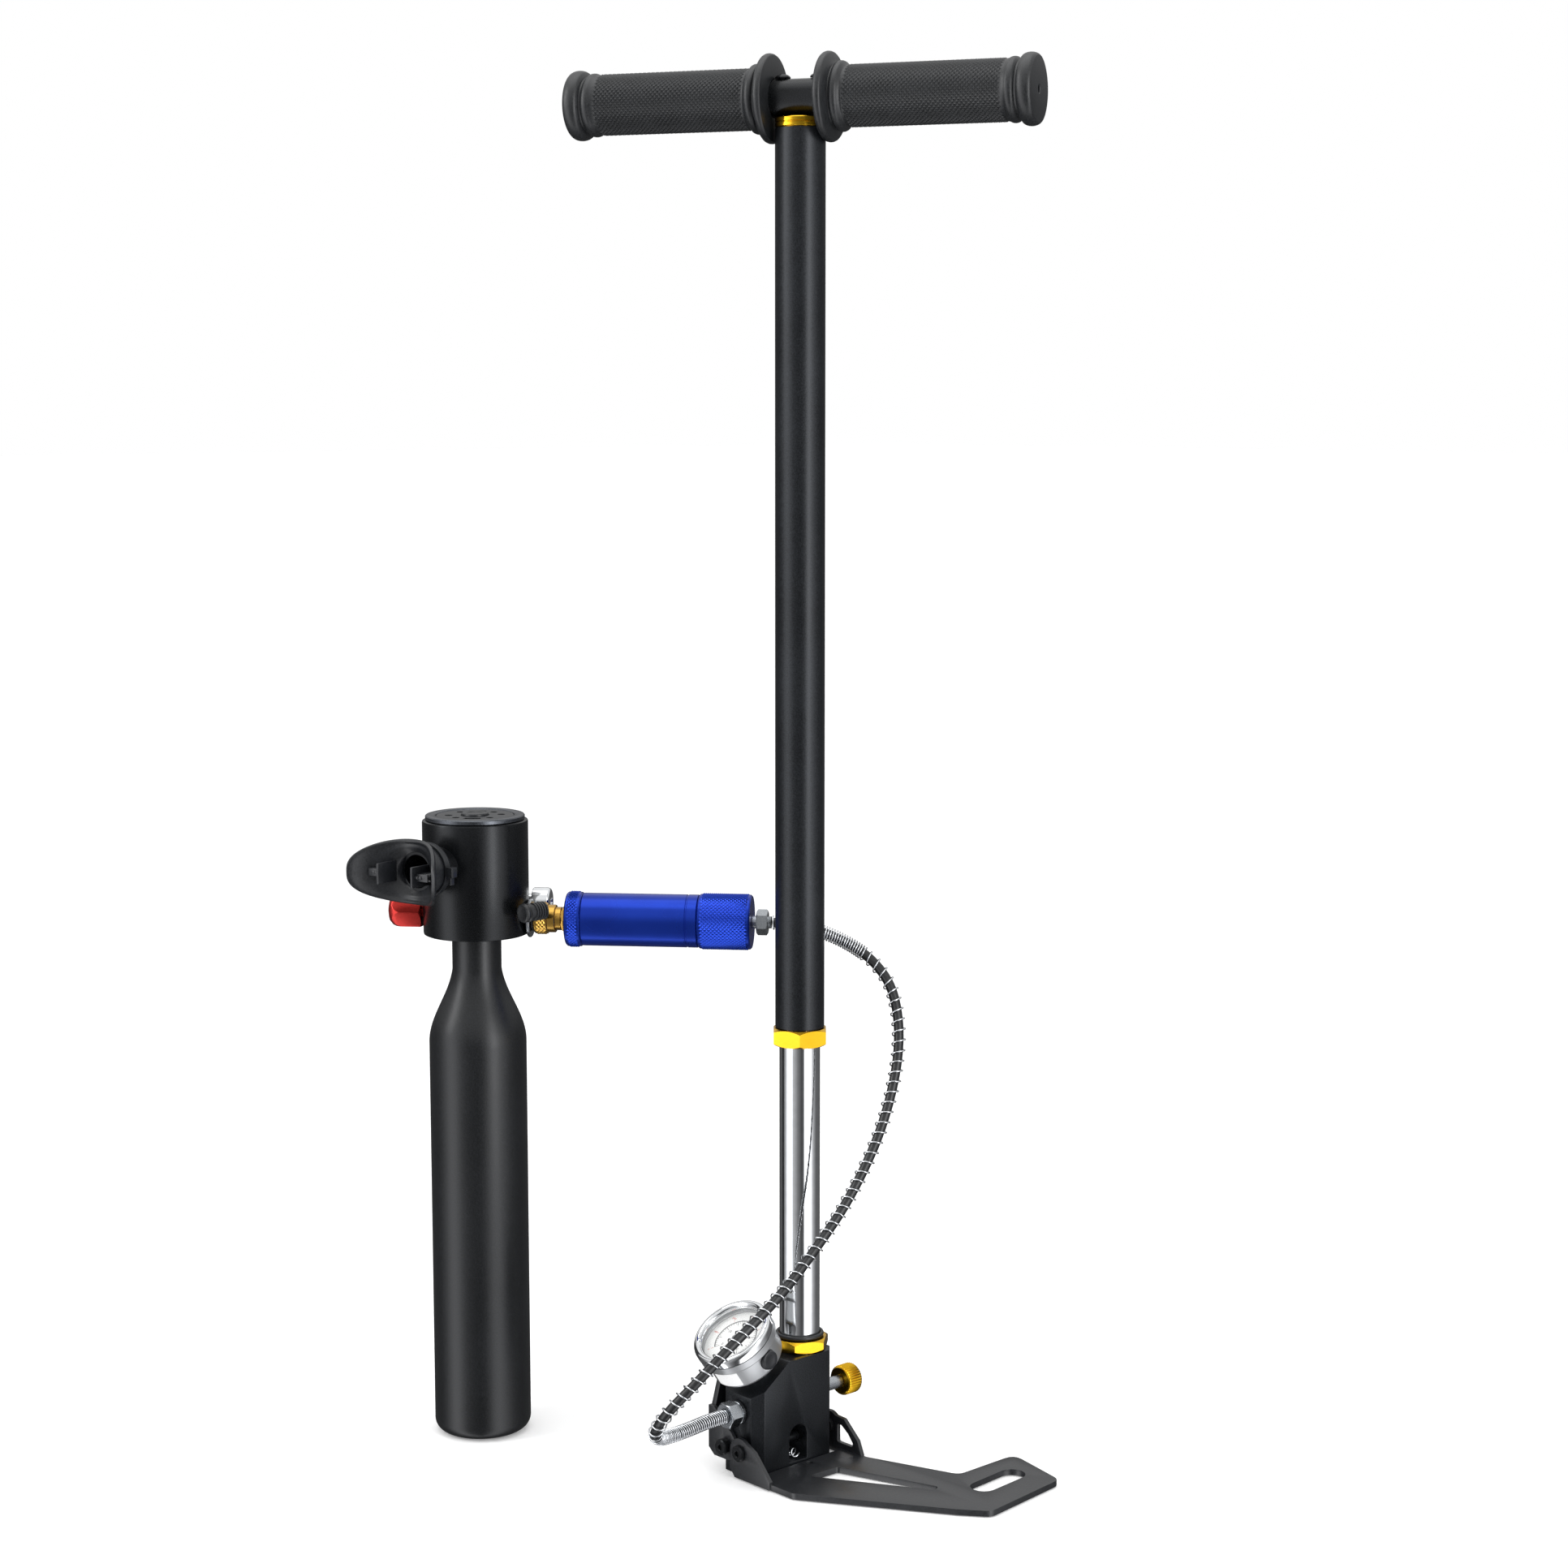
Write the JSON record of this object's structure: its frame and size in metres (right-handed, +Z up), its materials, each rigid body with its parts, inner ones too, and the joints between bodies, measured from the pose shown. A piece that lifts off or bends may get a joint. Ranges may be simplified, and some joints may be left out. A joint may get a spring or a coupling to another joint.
{
  "type": "high-pressure hand pump",
  "caption": "Stand-up high-pressure hand pump with T handle, fold-down pedal and gauge, joined by a guarded hose and filter to a small breathing cylinder.",
  "frame": {"origin": "where the pump's axis meets the floor, on the base block's underside", "axes": "+Z up along the pump, +X the way the front pedal reaches, +Y along the pedal's hinge pins"},
  "size_m": [0.3742, 0.2853, 0.8548],
  "materials": {
    "black_anodised": "satin black anodised",
    "matte_paint": "matte black powder paint on aluminium",
    "coated_steel": "black plastic-dipped steel plate",
    "chrome_plate": "bright chrome plate",
    "gold_anodised": "gold anodised, machined",
    "blue_anodised": "blue anodised, turned and knurled",
    "red_anodised": "red anodised",
    "brass": "turned brass",
    "zinc_steel": "zinc plated",
    "gauge_steel": "brushed stainless case",
    "guard_steel": "spring-wire guard over a black rubber hose",
    "black_screw": "black oxide",
    "grip_rubber": "moulded, finely knurled",
    "seal_rubber": "smooth black rubber",
    "mouth_rubber": "soft matte silicone rubber",
    "black_plastic": "moulded black plastic",
    "dial_white": "white enamel dial",
    "filter_felt": "pressed filter felt",
    "clear_glass": "clear"
  },
  "bodies": {
    "base": {"base_block": "black_anodised", "inner_tube": "chrome_plate", "high_pressure_tube": "zinc_steel", "base_nut": "gold_anodised", "buffer_ring": "seal_rubber", "piston_head": "brass", "piston_seal": "seal_rubber", "front_hinge_pin": "black_screw", "rear_hinge_pin": "black_screw", "front_spacer_left": "black_screw", "front_spacer_right": "black_screw", "rear_spacer_left": "black_screw", "rear_spacer_right": "black_screw", "fold_spring": "zinc_steel", "gauge_stem": "zinc_steel", "gauge_case": "gauge_steel", "gauge_bezel": "chrome_plate", "gauge_lens": "clear_glass", "gauge_dial": "dial_white", "gauge_plug": "black_plastic", "base_fitting": "zinc_steel", "base_fitting_nut": "zinc_steel", "hose": "guard_steel", "hose_nut": "zinc_steel", "filter_nipple": "zinc_steel", "filter_outlet_cap": "blue_anodised", "filter_body": "blue_anodised", "filter_inlet_cap": "blue_anodised", "filter_element": "filter_felt", "coupler_body": "brass", "fill_adapter": "zinc_steel", "cylinder": "matte_paint", "regulator_body": "black_anodised", "regulator_ring": "black_anodised", "diaphragm": "seal_rubber", "purge_cover": "black_plastic", "mouthpiece": "mouth_rubber", "mouthpiece_tie": "black_plastic", "safety_plug": "chrome_plate"},
    "rod": {"piston_rod": "zinc_steel", "rod_piston": "brass"},
    "sleeve": {"outer_tube": "black_anodised", "gland_nut": "gold_anodised", "gland_bush": "brass", "top_cap": "gold_anodised", "handle_bar": "black_anodised", "handle_screw_left": "black_screw", "handle_screw_right": "black_screw", "grip_left": "grip_rubber", "grip_right": "grip_rubber"},
    "pedal": {"front_pedal": "coated_steel"},
    "foot": {"rear_foot": "coated_steel"},
    "bleed": {"bleed_screw": "zinc_steel", "bleed_knob": "gold_anodised"},
    "needle": {"gauge_needle": "black_plastic"},
    "coupler": {"coupler_sleeve": "brass"},
    "cap": {"dust_cap": "seal_rubber", "dust_cap_strap": "seal_rubber"},
    "purge": {"purge_button": "black_plastic"},
    "valve": {"valve_knob": "red_anodised"}
  },
  "joints": [
    {"name": "pump_stroke", "type": "slide", "parent": "base", "child": "rod", "axis": [0, 0, 1], "range_m": [-0.181, 0.308]},
    {"name": "handle_swivel", "type": "hinge", "parent": "rod", "child": "sleeve", "pos_m": [0, 0, 0.8113], "axis": [0, 0, 1], "continuous": true},
    {"name": "front_pedal_fold", "type": "hinge", "parent": "base", "child": "pedal", "pos_m": [0.0077, 0, 0.017], "axis": [0, -1, 0], "range_deg": [0, 85]},
    {"name": "rear_foot_fold", "type": "hinge", "parent": "base", "child": "foot", "pos_m": [-0.0077, 0, 0.017], "axis": [0, -1, 0], "range_deg": [0, 90]},
    {"name": "bleed_turn", "type": "hinge", "parent": "base", "child": "bleed", "pos_m": [0.006, 0.015, 0.042], "axis": [0, 1, 0], "range_deg": [0, 360]},
    {"name": "needle_turn", "type": "hinge", "parent": "base", "child": "needle", "pos_m": [0, -0.036, 0.06152], "axis": [0, -0.5736, 0.8192], "range_deg": [-135, 135]},
    {"name": "coupler_pull", "type": "slide", "parent": "base", "child": "coupler", "axis": [0.7549, 0.6559, 0], "range_m": [0, 0.003], "stiffness_N_per_m": 600},
    {"name": "dust_cap_swing", "type": "hinge", "parent": "base", "child": "cap", "pos_m": [-0.1747, -0.1139, 0.3313], "axis": [0.7549, 0.6559, 0], "range_deg": [-30, 90]},
    {"name": "purge_press", "type": "slide", "parent": "base", "child": "purge", "axis": [0, 0, -1], "range_m": [0, 0.0022], "stiffness_N_per_m": 500},
    {"name": "valve_turn", "type": "hinge", "parent": "base", "child": "valve", "pos_m": [-0.1747, -0.1139, 0.3353], "axis": [-0.7549, -0.6559, 0], "range_deg": [0, 270]}
  ]
}
